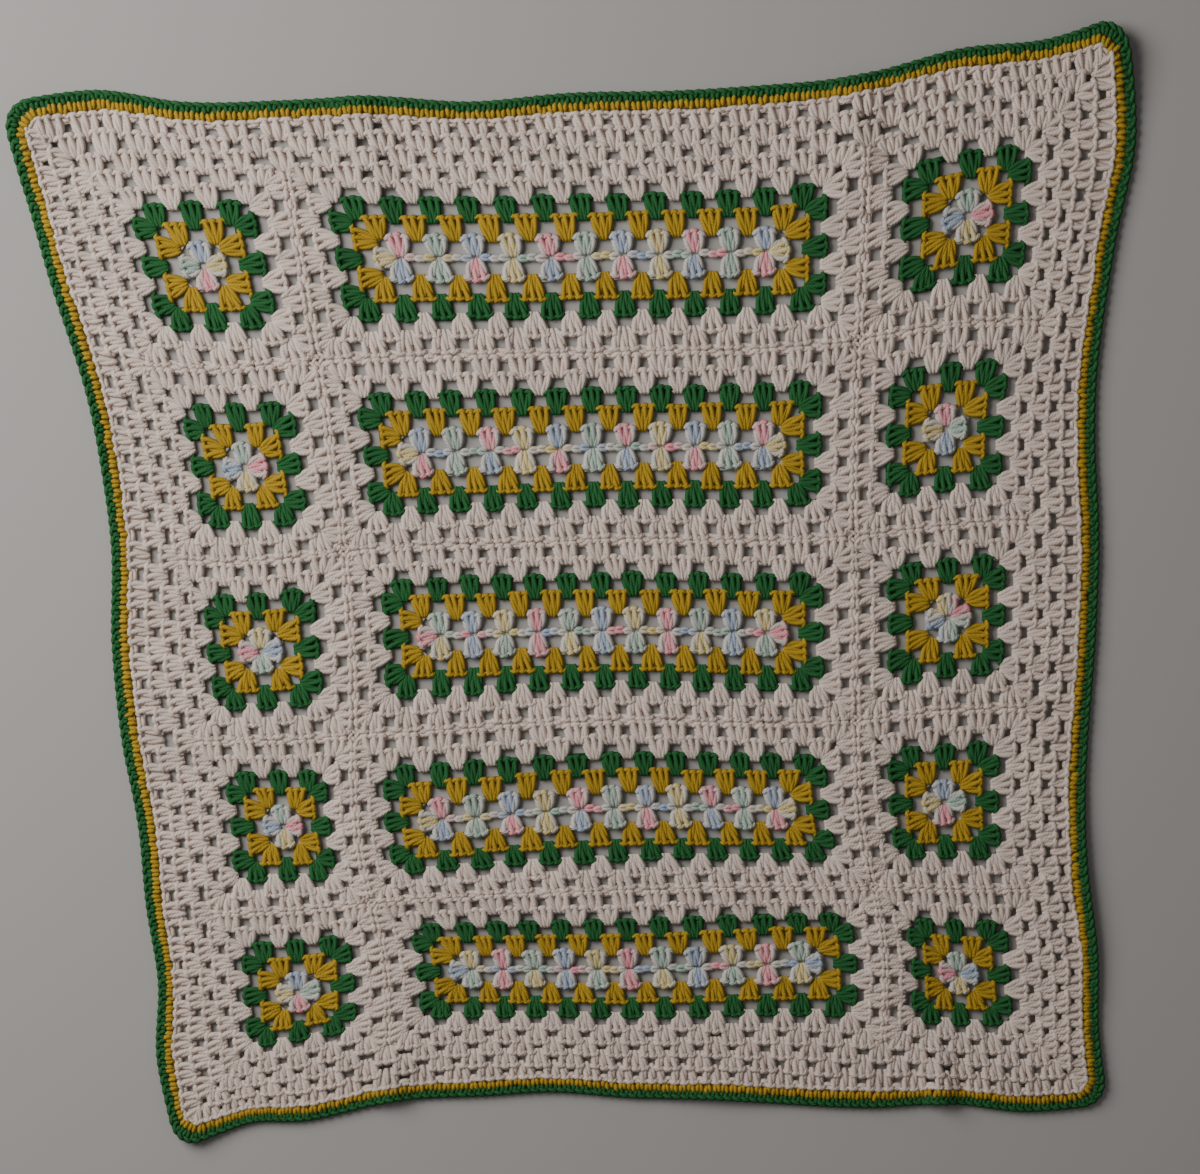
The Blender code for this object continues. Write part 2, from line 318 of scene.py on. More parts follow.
@dataclass(frozen=True)
class Yarn:
    """A soft worsted yarn of one colour, with its plies, its fuzz and small changes of shade."""

    name: str
    colour: tuple[float, float, float]
    shadow: float = 0.80  # brightness of the darkest stitches against the palest; a web's painted shade under 0 is darker still
    patch_change: float = 0.06  # how much paler or darker the colour is in patches
    patch_scale: float = 60.0
    roughness: float = 0.92
    sheen: float = 0.10
    sheen_roughness: float = 0.6
    sheen_power: float = 0.6  # what the colour is raised to in the sheen, which makes it paler
    gloss: float = 0.2
    plies: float = 4.0
    ply_depth: float = 0.34
    fuzz_scale: float = 1400.0
    fuzz_depth: float = 0.75
    relief: float = 0.0005  # height of the plies and of the fuzz in metres

    def tone(self, tree: bpy.types.NodeTree) -> bpy.types.NodeSocket:
        """The yarn's own colour, a little uneven.

        Args:
            tree: Node tree of the material.

        Returns:
            The socket that carries the colour.
        """
        node = add_node(tree, "Mix", data_type="RGBA")
        patches = add_node(tree, "TexNoise", {"Scale": self.patch_scale, "Detail": 3.0})
        coords = add_node(tree, "TexCoord")
        tree.links.new(coords.outputs["Object"], patches.inputs["Vector"])
        tree.links.new(patches.outputs["Fac"], node.inputs["Factor"])
        dark, pale = 1 - self.patch_change, 1 + self.patch_change
        node.inputs["A"].default_value = (*(dark * c for c in self.colour), 1.0)
        node.inputs["B"].default_value = (*(min(1.0, pale * c) for c in self.colour), 1.0)
        return node.outputs["Result"]

    def shaded(self, tree: bpy.types.NodeTree) -> bpy.types.NodeSocket:
        """The colour with the shade of each stitch, and on a web the painted shade between the posts.

        Args:
            tree: Node tree of the material.

        Returns:
            The socket that carries the colour.
        """
        shade = add_node(tree, "Attribute", attribute_name="shade")
        span = add_node(tree, "MapRange", {"To Min": self.shadow, "To Max": 1.0}, clamp=False)
        tree.links.new(shade.outputs["Fac"], span.inputs["Value"])
        scaled = add_node(tree, "VectorMath", operation="SCALE")
        tree.links.new(self.tone(tree), scaled.inputs["Vector"])
        tree.links.new(span.outputs["Result"], scaled.inputs["Scale"])
        return scaled.outputs["Vector"]

    def surface(self, tree: bpy.types.NodeTree) -> bpy.types.NodeSocket:
        """The relief of the twisted plies, read from the strand's own map, and of the fuzz.

        Args:
            tree: Node tree of the material.

        Returns:
            The socket that carries the normal.
        """
        links = tree.links
        strand = add_node(tree, "UVMap", uv_map="strand")
        parts = add_node(tree, "SeparateXYZ")
        links.new(strand.outputs["UV"], parts.inputs["Vector"])
        wound = add_node(tree, "Math", {1: self.plies}, operation="MULTIPLY_ADD")
        links.new(parts.outputs["Y"], wound.inputs[0])
        links.new(parts.outputs["X"], wound.inputs[2])
        turn = add_node(tree, "Math", {1: 2 * np.pi}, operation="MULTIPLY")
        links.new(wound.outputs["Value"], turn.inputs[0])
        ply = add_node(tree, "Math", operation="SINE")
        links.new(turn.outputs["Value"], ply.inputs[0])
        bump = add_node(tree, "Bump", {"Strength": self.ply_depth, "Distance": self.relief})
        links.new(ply.outputs["Value"], bump.inputs["Height"])

        coords = add_node(tree, "TexCoord")
        fuzz = add_node(tree, "TexNoise", {"Scale": self.fuzz_scale, "Detail": 4.0, "Roughness": 0.6})
        links.new(coords.outputs["Object"], fuzz.inputs["Vector"])
        fine = add_node(tree, "Bump", {"Strength": self.fuzz_depth, "Distance": self.relief})
        links.new(fuzz.outputs["Fac"], fine.inputs["Height"])
        links.new(bump.outputs["Normal"], fine.inputs["Normal"])
        return fine.outputs["Normal"]

    def material(self) -> bpy.types.Material:
        """Makes the yarn's material."""
        material = bpy.data.materials.new(self.name)
        material.use_nodes = True
        tree = material.node_tree
        shader = tree.nodes["Principled BSDF"]
        shader.inputs["Roughness"].default_value = self.roughness
        shader.inputs["Sheen Weight"].default_value = self.sheen
        shader.inputs["Sheen Roughness"].default_value = self.sheen_roughness
        shader.inputs["Sheen Tint"].default_value = (*(c**self.sheen_power for c in self.colour), 1.0)
        shader.inputs["Specular IOR Level"].default_value = self.gloss
        tree.links.new(self.shaded(tree), shader.inputs["Base Color"])
        tree.links.new(self.surface(tree), shader.inputs["Normal"])
        return material


@dataclass(frozen=True)
class PastelYarn(Yarn):
    """A yarn dyed in lengths of pale colours with white between them, read from its place on the yarn."""

    lengths: tuple[tuple[float, float, float], ...] = ()

    def tone(self, tree: bpy.types.NodeTree) -> bpy.types.NodeSocket:
        """The dyed colour at each place of the yarn.

        Args:
            tree: Node tree of the material.

        Returns:
            The socket that carries the colour.
        """
        run = add_node(tree, "Attribute", attribute_name="yarn_run")
        turn = add_node(tree, "Math", operation="FRACT")
        tree.links.new(run.outputs["Fac"], turn.inputs[0])
        ramp = add_node(tree, "ValToRGB")
        ramp.color_ramp.interpolation = "EASE"
        stops = [self.colour]
        for dyed in self.lengths:
            stops += [dyed, self.colour]
        elements = ramp.color_ramp.elements
        while len(elements) < len(stops):
            elements.new(0.5)
        for number, stop in enumerate(stops):
            elements[number].position = number / (len(stops) - 1)
        for number, stop in enumerate(stops):
            elements[number].color = (*stop, 1.0)
        tree.links.new(turn.outputs["Value"], ramp.inputs["Fac"])
        return ramp.outputs["Color"]


@cache
def tube(rings: int, sides: int = SIDES) -> tuple[np.ndarray, np.ndarray]:
    """A closed tube, extruded ring by ring, whose form every strand of that many rings repeats.

    Args:
        rings: How many rings the tube has from end to end.
        sides: How many corners each ring has.

    Returns:
        The corners of each face, counted ring by ring, and each corner's place round the tube in turns.
    """
    mesh = bmesh.new()
    bmesh.ops.create_circle(mesh, cap_ends=True, segments=sides, radius=1.0)
    for _ in range(rings - 1):
        cap = max(mesh.faces, key=lambda face: face.calc_center_median().z)
        inner = len(mesh.faces) > 1
        made = bmesh.ops.extrude_face_region(mesh, geom=[cap])
        if inner:
            bmesh.ops.delete(mesh, geom=[cap], context="FACES_ONLY")
        moved = [part for part in made["geom"] if isinstance(part, bmesh.types.BMVert)]
        bmesh.ops.translate(mesh, vec=(0.0, 0.0, 1.0), verts=moved)
    bmesh.ops.recalc_face_normals(mesh, faces=mesh.faces)
    corners, rounds = [], []
    for face in mesh.faces:
        turns = [round(np.arctan2(v.co.y, v.co.x) / (2 * np.pi) * sides) % sides for v in face.verts]
        corners.append([round(v.co.z) * sides + turn for v, turn in zip(face.verts, turns)])
        wraps = 0 in turns and sides - 1 in turns
        rounds.append([(sides if wraps and turn == 0 else turn) / sides for turn in turns])
    mesh.free()
    return np.array(corners), np.array(rounds)


@dataclass
class Strands:
    """Yarn strands of one piece, gathered as lines of ring middles and made into one mesh."""

    chart: Chart
    seed: int
    ply_length: float = 2.4  # millimetres of yarn from one ply to the next
    batches: list[tuple] = field(default_factory=list)

    def add(
        self,
        middles: np.ndarray,
        radii: np.ndarray,
        slot: Slot,
        run: np.ndarray | float = 0.0,
        shade: np.ndarray | float = 1.0,
    ) -> None:
        """Adds strands that have the same number of rings.

        Args:
            middles: Middle of each ring, strands by rings by (u, v, height in millimetres).
            radii: Radius of each ring in millimetres, broadcast to strands by rings.
            slot: Yarn of the strands.
            run: Place on the dyed yarn, broadcast to strands by rings.
            shade: Shade from 0, dark, to 1, broadcast to strands by rings.
        """
        radii, run, shade = (np.broadcast_to(value, middles.shape[:2]) for value in (radii, run, shade))
        self.batches.append((middles, radii, slot, run, shade))

    def rings_of(self, middles: np.ndarray, radii: np.ndarray) -> tuple[np.ndarray, np.ndarray]:
        """Corners of the rings of some strands.

        Args:
            middles: Middles of the rings in the chart.
            radii: Their radii in millimetres.

        Returns:
            The corners in millimetres, strands by rings by sides by 3, and the yarn's length up to each ring.
        """
        line = self.chart.place(middles)
        tangent = np.gradient(line, axis=1)
        tangent /= np.linalg.norm(tangent, axis=2, keepdims=True)
        across = np.cross(tangent, (0.0, 0.0, 1.0))
        across /= np.maximum(np.linalg.norm(across, axis=2, keepdims=True), NEAR)
        up = np.cross(tangent, across)
        turns = 2 * np.pi * np.arange(SIDES) / SIDES
        ring = np.cos(turns)[:, None] * across[:, :, None] + np.sin(turns)[:, None] * up[:, :, None]
        corners = line[:, :, None] + radii[:, :, None, None] * ring
        steps = np.linalg.norm(np.diff(line, axis=1), axis=2)
        lengths = np.concatenate((np.zeros((len(line), 1)), np.cumsum(steps, axis=1)), axis=1)
        return corners, lengths

    def build(self, name: str, finishes: list[bpy.types.Material]) -> bpy.types.Object:
        """Makes the gathered strands one mesh.

        Args:
            name: Name of the piece.
            finishes: Materials, in the order of the yarn slots.

        Returns:
            The piece.
        """
        rng = np.random.default_rng(self.seed)
        places, faces, maps, runs, shades, slots = [], [], [], [], [], []
        first = 0
        for middles, radii, slot, run, shade in self.batches:
            count, rings = middles.shape[:2]
            corners, rounds = tube(rings)
            made, lengths = self.rings_of(middles, radii)
            places.append(made.reshape(-1, 3) * MM)
            strand_first = first + np.arange(count)[:, None, None] * rings * SIDES
            faces.append((strand_first + corners).reshape(-1, corners.shape[1]))
            start = rng.random(count)[:, None, None]
            along = start + (lengths / self.ply_length)[:, corners // SIDES]
            maps.append(np.stack((along, np.broadcast_to(rounds, along.shape)), axis=-1).reshape(-1, 2))
            runs.append(np.repeat(run.reshape(-1), SIDES))
            shades.append(np.repeat(shade.reshape(-1), SIDES))
            slots.append(np.full(count * len(corners), slot.value))
            first += count * rings * SIDES
        return joined(
            name,
            np.concatenate(places),
            np.concatenate(faces),
            finishes,
            np.concatenate(slots),
            {"yarn_run": np.concatenate(runs), "shade": np.concatenate(shades)},
            np.concatenate(maps),
        )


def joined(
    name: str,
    places: np.ndarray,
    faces: np.ndarray,
    finishes: list[bpy.types.Material],
    slots: np.ndarray,
    values: dict[str, np.ndarray],
    strand_map: np.ndarray,
) -> bpy.types.Object:
    """Makes a mesh of many like faces in one go.

    Args:
        name: Name of the piece.
        places: Place of each vertex in metres.
        faces: Vertices of each face, the same number for all.
        finishes: Materials of the piece.
        slots: Material slot of each face.
        values: A number for each vertex under each attribute's name.
        strand_map: Place on the strand of each face corner.

    Returns:
        The piece, smooth shaded, at the origin.
    """
    data = bpy.data.meshes.new(name)
    data.vertices.add(len(places))
    data.vertices.foreach_set("co", places.astype(np.float32).reshape(-1))
    data.loops.add(faces.size)
    data.loops.foreach_set("vertex_index", faces.astype(np.int32).reshape(-1))
    data.polygons.add(len(faces))
    data.polygons.foreach_set("loop_start", np.arange(len(faces), dtype=np.int32) * faces.shape[1])
    data.polygons.foreach_set("material_index", slots.astype(np.int32))
    data.update(calc_edges=True)
    data.shade_smooth()
    for key, numbers in values.items():
        data.attributes.new(key, "FLOAT", "POINT").data.foreach_set("value", numbers.astype(np.float32))
    layer = data.uv_layers.new(name="strand")
    layer.data.foreach_set("uv", strand_map.astype(np.float32).reshape(-1))
    for finish in finishes:
        data.materials.append(finish)
    piece = bpy.data.objects.new(name, data)
    bpy.context.scene.collection.objects.link(piece)
    return piece


@dataclass(frozen=True)
class Round:
    """The yarn of one round and the sizes of its groups in repeats."""

    slot: Slot
    foot_width: float
    head_width: float
    poke: float  # how far its feet reach under the tops below
    bulge: float  # how much wider a group is halfway up than a straight flank
    fat: float  # how thick its yarn lies, against the usual
    crown: float  # how much lower than the middle post the other two end
    shift: float  # how far a foot stands on from its head


BULGE_POWER = 0.8  # under 1 it puts the widest place a little under halfway up

# Gaps between neighbouring groups, in repeats
GAP_LOW = 0.01  # how far under the tops of the round below a gap begins
GAP_HIGH = 0.05  # how far past the feet of the round above it ends
GAP_INSET = 0.03  # how far it reaches under the flanks beside it
GAP_LEAST = 0.012  # area of the smallest gap that is cut
CORNER_GAP = (0.25, 0.6, 1.0)  # levels of a gap at a corner, as shares from foot to head


@dataclass
class Groups:
    """A round of groups of three double crochets, each group worked into one space.

    The groups stand in the order of work, clockwise, and each list has one entry a group.
    """

    style: Round
    next_poke: float  # how far the feet of the round above reach under this round's tops
    run: float = 0.0  # place on the dyed yarn where the round begins
    run_step: float = 0.0  # how much of the dyed yarn's cycle one group takes
    feet: list[tuple[float, float]] = field(default_factory=list)
    heads: list[tuple[float, float]] = field(default_factory=list)
    ways: list[tuple[float, float]] = field(default_factory=list)
    pokes: list[float] = field(default_factory=list)  # how far each foot reaches under the tops below

    def add(self, foot: tuple, head: tuple, side: Side, poke: float) -> None:
        """Adds one group from its foot, poke under the tops below, to the middle of its head on a side."""
        self.feet.append(foot)
        self.heads.append(head)
        self.ways.append(side.value[0])
        self.pokes.append(poke)

    def width(self, share: np.ndarray | float, head_width: np.ndarray | float) -> np.ndarray | float:
        """Width of a group.

        Args:
            share: How far up from foot to head.
            head_width: Its width at the head.

        Returns:
            The width in repeats.
        """
        even = self.style.foot_width + (head_width - self.style.foot_width) * share
        return even + self.style.bulge * np.sin(np.pi * np.clip(share, 0.0, 1.0) ** BULGE_POWER)

    def edge(self, number: int, hand: int, share: float, inset: float) -> np.ndarray:
        """A chart point on a group's flank.

        Args:
            number: Which group.
            hand: 1 for the flank further along, -1 for the other.
            share: How far up from foot to head.
            inset: How far inside the flank.

        Returns:
            The chart point.
        """
        foot, head, way = (np.array(row[number]) for row in (self.feet, self.heads, self.ways))
        width = self.width(share, self.style.head_width)
        return foot + (head - foot) * share + way * hand * (width / 2 - inset)

    def gaps(self) -> list[np.ndarray]:
        """Outlines of the gaps between neighbouring groups, just under their flanks.

        Returns:
            A closed loop of chart points for each gap.
        """
        loops = []
        count = len(self.feet)
        for number in range(count):
            after = (number + 1) % count
            flanks = []
            for group, hand in ((number, 1), (after, -1)):
                reach = float(np.linalg.norm(np.subtract(self.heads[group], self.feet[group])))
                low = (self.pokes[group] - GAP_LOW) / reach
                high = 1 - (self.next_poke - GAP_HIGH) / reach
                corner = self.ways[number] != self.ways[after]
                levels = CORNER_GAP if corner else (low, (low + high) / 2, high)
                flanks.append([self.edge(group, hand, share, GAP_INSET) for share in levels])
            loop = np.array(flanks[0] + flanks[1][::-1])
            if spread(loop) > GAP_LEAST:
                loops.append(loop)
        return loops


def spread(loop: np.ndarray) -> float:
    """Area that a loop encloses."""
    after = np.roll(loop, -1, axis=0)
    return abs(float((loop[:, 0] * after[:, 1] - after[:, 0] * loop[:, 1]).sum())) / 2


@dataclass
class Fans:
    """The groups of a round as they are worked, with their small differences, one row a group."""

    groups: Groups
    foot: np.ndarray
    head: np.ndarray  # middle of the head
    way: np.ndarray  # unit vector along the head
    wide: np.ndarray  # width of the head


@dataclass(frozen=True)
class DoubleCrochet:
    """Sizes of one double crochet: a post of two twisted strands under its loop, and the chain beside it.

    Radii and heights are in millimetres, and what lies along or out of the work is in repeats.
    """

    repeat: float = 25.0  # millimetres of one stitch repeat

    # The post, ring by ring from foot to head
    shares: tuple[float, ...] = (0.0, 0.10, 0.24, 0.40, 0.56, 0.72, 0.88, 1.0)
    radii: tuple[float, ...] = (1.30, 1.50, 1.65, 1.75, 1.80, 1.85, 1.85, 1.65)
    pair: tuple[float, ...] = (0.60, 0.80, 1.00, 1.20, 1.30, 1.35, 1.30, 1.10)  # from the pair's middle
    heights: tuple[float, ...] = (2.2, 2.7, 3.0, 3.1, 3.1, 3.1, 3.1, 3.0)
    post_gap: float = 0.025  # from a post's end to the middle of the head
    turns: float = 0.45  # how far the pair twists
    twist_start: float = -1.6  # least angle of the pair at its foot in radians
    twist_spread: float = 0.9  # how much more that angle may be
    twist_lift: float = 0.75  # how high the twist stands against its width

    # The loop over a post, ring by ring
    loop_steps: tuple[float, ...] = (-1.0, -0.38, 0.38, 1.0)  # along it, as shares of its half length
    loop_radii: tuple[float, ...] = (1.30, 1.70, 1.75, 1.35)
    loop_rises: tuple[float, ...] = (-0.050, -0.006, 0.004, -0.040)
    loop_heights: tuple[float, ...] = (3.3, 4.0, 4.1, 3.3)
    loop_reach: float = 0.58  # its half length against a third of the head's width
    loop_gap: float = 0.05  # from the loop to the middle of the head
    loop_fall: float = 0.9  # how much of the crown an outer loop slopes down by

    # The chain from one group to the next, ring by ring
    link_shares: tuple[float, ...] = (0.0, 0.33, 0.67, 1.0)
    link_bows: tuple[float, ...] = (0.01, 0.055, 0.055, 0.01)
    link_radii: tuple[float, ...] = (1.3, 1.9, 1.9, 1.3)
    link_heights: tuple[float, ...] = (3.5, 2.9)  # of its outer and its inner strand
    link_level: float = 0.94  # how far up the flanks it begins and ends
    link_inset: float = 0.06  # and how far inside them

    # Small differences: a spread for each, and how much darker a group, a post or a link may be
    head_stray: float = 0.018
    foot_stray: float = 0.015
    width_stray: float = 0.05
    lean_stray: float = 0.012
    rise_stray: float = 0.006
    height_stray: float = 0.15
    post_dark: float = 0.5
    link_dark: float = 0.7

    # The dyed yarn, as shares of what one group takes
    post_run: float = 0.30  # from one post to the next
    twist_run: float = 0.25  # along a post

    def work(self, groups: Groups, strands: Strands, rng: np.random.Generator) -> None:
        """Works every group of a round.

        Args:
            groups: The round.
            strands: Strands of the piece, which the stitches are added to.
            rng: Source of small differences between the stitches.
        """
        count = len(groups.feet)
        foot, head, way = (np.array(rows) for rows in (groups.feet, groups.heads, groups.ways))
        head = head + rng.normal(0, self.head_stray, head.shape)
        foot = foot + rng.normal(0, self.foot_stray, foot.shape)
        wide = groups.style.head_width * (1 + rng.normal(0, self.width_stray, count))
        fans = Fans(groups, foot, head, way, wide)
        dark = rng.random(count) * self.post_dark
        for post in (-1, 0, 1):
            run = groups.run + groups.run_step * (np.arange(count) + (post + 1) * self.post_run)
            lean = rng.normal(0, self.lean_stray, count)
            middle = self.post(fans, post, lean)
            start = rng.random(count) * self.twist_spread + self.twist_start
            shade = 1 - dark - rng.random(count) * self.post_dark
            self.twist(fans, middle, start, run, shade, strands)
            self.loops(fans, post, lean, run, shade, strands, rng)

    def links(self, groups: Groups, strands: Strands, rng: np.random.Generator, drop: float) -> None:
        """Works the chain stitch between each group and the next, as two strands.

        Args:
            groups: The round.
            strands: Strands of the piece, which the stitches are added to.
            rng: Source of small differences between the stitches.
            drop: How far the chain hangs under the line between its ends, in repeats.
        """
        count = len(groups.feet)
        after = (np.arange(count) + 1) % count
        level, inset = self.link_level, self.link_inset
        start = np.array([groups.edge(number, 1, level, inset) for number in range(count)])
        end = np.array([groups.edge(number, -1, level, inset) for number in after])
        out = unit(np.stack((start[:, 1] - end[:, 1], end[:, 0] - start[:, 0]), axis=1))
        share = np.array(self.link_shares)[None, :, None]
        shade = 1 - rng.random(count)[:, None] * self.link_dark
        for hand, height in zip((1, -1), self.link_heights):
            bow = hand * np.array(self.link_bows)[None, :, None] - drop
            line = np.zeros((count, len(self.link_shares), 3))
            line[:, :, :2] = start[:, None] * (1 - share) + end[:, None] * share + out[:, None] * bow
            line[:, :, 2] = height + rng.normal(0, self.height_stray, count)[:, None]
            strands.add(line, np.array(self.link_radii), groups.style.slot, 0.0, shade)

    def post(self, fans: Fans, post: int, lean: np.ndarray) -> np.ndarray:
        """Line of one post in each group.

        Args:
            fans: The groups.
            post: -1, 0 or 1, from the first post to the last.
            lean: How far each post stands off its even place.

        Returns:
            Middles, groups by shares by (u, v, height).
        """
        style = fans.groups.style
        share = np.array(self.shares)[None, :, None]
        end = fans.head - unit(fans.head - fans.foot) * (self.post_gap + style.crown * abs(post))
        width = fans.groups.width(share, fans.wide[:, None, None])
        flat = fans.foot[:, None] + (end - fans.foot)[:, None] * share
        flat = flat + fans.way[:, None] * (post * width / 3 + lean[:, None, None] * share)
        height = np.broadcast_to(np.array(self.heights)[None, :, None] * style.fat, flat[:, :, :1].shape)
        return np.concatenate((flat, height), axis=2)

    def twist(
        self,
        fans: Fans,
        middle: np.ndarray,
        start: np.ndarray,
        run: np.ndarray,
        shade: np.ndarray,
        strands: Strands,
    ) -> None:
        """Adds the two strands that wind round the line of each post.

        Args:
            fans: The groups.
            middle: Line of each post.
            start: Angle of each pair at its foot, in radians.
            run: Place on the dyed yarn.
            shade: Shade of each post.
            strands: Strands of the piece.
        """
        groups = fans.groups
        share = np.array(self.shares)
        for strand in (0, 1):
            angle = start[:, None] + np.pi * strand + 2 * np.pi * self.turns * share
            off = np.array(self.pair) * np.cos(angle)
            line = middle.copy()
            line[:, :, :2] += fans.way[:, None] * (off / self.repeat)[:, :, None]
            line[:, :, 2] += np.array(self.pair) * np.sin(angle) * self.twist_lift
            along = run[:, None] + groups.run_step * self.twist_run * share * (1 - 2 * strand)
            radii = np.array(self.radii) * groups.style.fat
            strands.add(line, radii, groups.style.slot, along, shade[:, None])

    def loops(
        self,
        fans: Fans,
        post: int,
        lean: np.ndarray,
        run: np.ndarray,
        shade: np.ndarray,
        strands: Strands,
        rng: np.random.Generator,
    ) -> None:
        """Adds the loop on top of each post.

        Args:
            fans: The groups.
            post: -1, 0 or 1, from the first post to the last.
            lean: How far each post stands off its even place.
            run: Place on the dyed yarn.
            shade: Shade of each post.
            strands: Strands of the piece.
            rng: Source of small differences.
        """
        style, count = fans.groups.style, len(fans.head)
        out = unit(fans.head - np.array(fans.groups.feet))
        reach = fans.wide / 3 * self.loop_reach
        middle = fans.head + fans.way * (post * fans.wide / 3 + lean)[:, None]
        middle = middle - out * (self.loop_gap + style.crown * abs(post))
        steps = np.array(self.loop_steps)
        fall = (style.crown * self.loop_fall * post * steps)[None, :, None]
        stray = rng.normal(0, self.rise_stray, count)
        rises = np.array(self.loop_rises)[None, :, None] + stray[:, None, None]
        line = np.zeros((count, len(steps), 3))
        line[:, :, :2] = middle[:, None] + fans.way[:, None] * (reach[:, None] * steps)[:, :, None]
        line[:, :, :2] += out[:, None] * (rises - fall)
        heights = np.array(self.loop_heights) * style.fat
        line[:, :, 2] = heights + rng.normal(0, self.height_stray, count)[:, None]
        radii = np.array(self.loop_radii) * style.fat
        strands.add(line, radii, style.slot, run[:, None], shade[:, None])


@dataclass(frozen=True)
class Web:
    """The thin sheet that the posts of a piece share, with every gap cut out of it. Its colour carries a
    painted shade where it shows between the posts.
    """

    low: float = 1.0
    high: float = 2.6
    shades: tuple[float, ...] = (0.9, -2.0, -2.0, -0.5)  # painted shade of each yarn's web, which shows between the posts: below 0 it is darker than any stitch

    def build(
        self,
        name: str,
        chart: Chart,
        outlines: list[np.ndarray],
        lines: list[np.ndarray],
        gaps: list[np.ndarray],
        finishes: list[bpy.types.Material],
        slots_of: Callable[[np.ndarray], np.ndarray],
    ) -> bpy.types.Object:
        """Makes the sheet between loops of the chart.

        Args:
            name: Name of the piece.
            chart: The chart.
            outlines: Outer loop and, for a ring, the inner one.
            lines: Loops that the triangles don't cross.
            gaps: Loops that are cut out.
            finishes: Materials, in the order of the yarn slots.
            slots_of: Gives the material slot of each chart point in an array.

        Returns:
            The closed sheet.
        """
        chart_points, edges = [], []
        for loop in (*outlines, *lines, *gaps):
            first = len(chart_points)
            chart_points += [tuple(point) for point in loop]
            edges += [(first + i, first + (i + 1) % len(loop)) for i in range(len(loop))]
        inside = 1  # only the triangles within the loops are wanted
        result = delaunay_2d_cdt([Vector(point) for point in chart_points], edges, [], inside, NEAR)
        points = np.array([tuple(point) for point in result[0]])
        faces = np.array(result[2])
        middles = points[faces].mean(axis=1)
        kept = np.ones(len(faces), bool)
        for loop in (*outlines[1:], *gaps):
            kept &= ~within(middles, loop)
        places = chart.place(np.column_stack((points, np.zeros(len(points)))))

        mesh = bmesh.new()
        verts = [mesh.verts.new((x * MM, y * MM, (z + self.low) * MM)) for x, y, z in places]
        slots = slots_of(middles)
        for face, slot, keep in zip(faces, slots, kept):
            if keep:
                mesh.faces.new([verts[i] for i in face]).material_index = int(slot)
        loose = [vert for vert in mesh.verts if not vert.link_faces]
        bmesh.ops.delete(mesh, geom=loose, context="VERTS")
        bmesh.ops.recalc_face_normals(mesh, faces=mesh.faces)
        made = bmesh.ops.extrude_face_region(mesh, geom=mesh.faces[:])
        top = [part for part in made["geom"] if isinstance(part, bmesh.types.BMVert)]
        bmesh.ops.translate(mesh, vec=(0.0, 0.0, (self.high - self.low) * MM), verts=top)
        bmesh.ops.recalc_face_normals(mesh, faces=mesh.faces)
        data = bpy.data.meshes.new(name)
        mesh.to_mesh(data)
        mesh.free()
        # painted shade: each face takes its yarn's value from shades, which darkens the web between the posts
        shade = data.attributes.new("shade", "FLOAT", "FACE")
        shade.data.foreach_set("value", [self.shades[face.material_index] for face in data.polygons])
        for finish in finishes:
            data.materials.append(finish)
        piece = bpy.data.objects.new(name, data)
        bpy.context.scene.collection.objects.link(piece)
        return piece


def within(places: np.ndarray, loop: np.ndarray) -> np.ndarray:
    """Whether each place lies within a closed loop.

    Args:
        places: One place a row.
        loop: Corners of the loop.

    Returns:
        A yes or no for each place.
    """
    x, y = places[:, :1], places[:, 1:]
    ends = np.roll(loop, -1, axis=0)
    over = (loop[:, 1] > y) != (ends[:, 1] > y)
    rise = np.where(ends[:, 1] == loop[:, 1], 1.0, ends[:, 1] - loop[:, 1])
    crossing = loop[:, 0] + (y - loop[:, 1]) * (ends[:, 0] - loop[:, 0]) / rise
    return ((over & (x < crossing)).sum(axis=1) % 2).astype(bool)


def box_loop(
    middle: tuple[float, float], half_u: float, half_v: float, step: float = SIDE_STEP
) -> np.ndarray:
    """Chart points round a rectangle.

    Args:
        middle: Its middle.
        half_u: Half its width.
        half_v: Half its height.
        step: Greatest distance between two points.

    Returns:
        The points, counter-clockwise.
    """
    corners = np.array(((-half_u, -half_v), (half_u, -half_v), (half_u, half_v), (-half_u, half_v)))
    loop = []
    for start, end in zip(corners, np.roll(corners, -1, axis=0)):
        count = int(np.ceil(np.abs(end - start).max() / step))
        loop += [start + (end - start) * i / count for i in range(count)]
    return np.array(loop) + middle


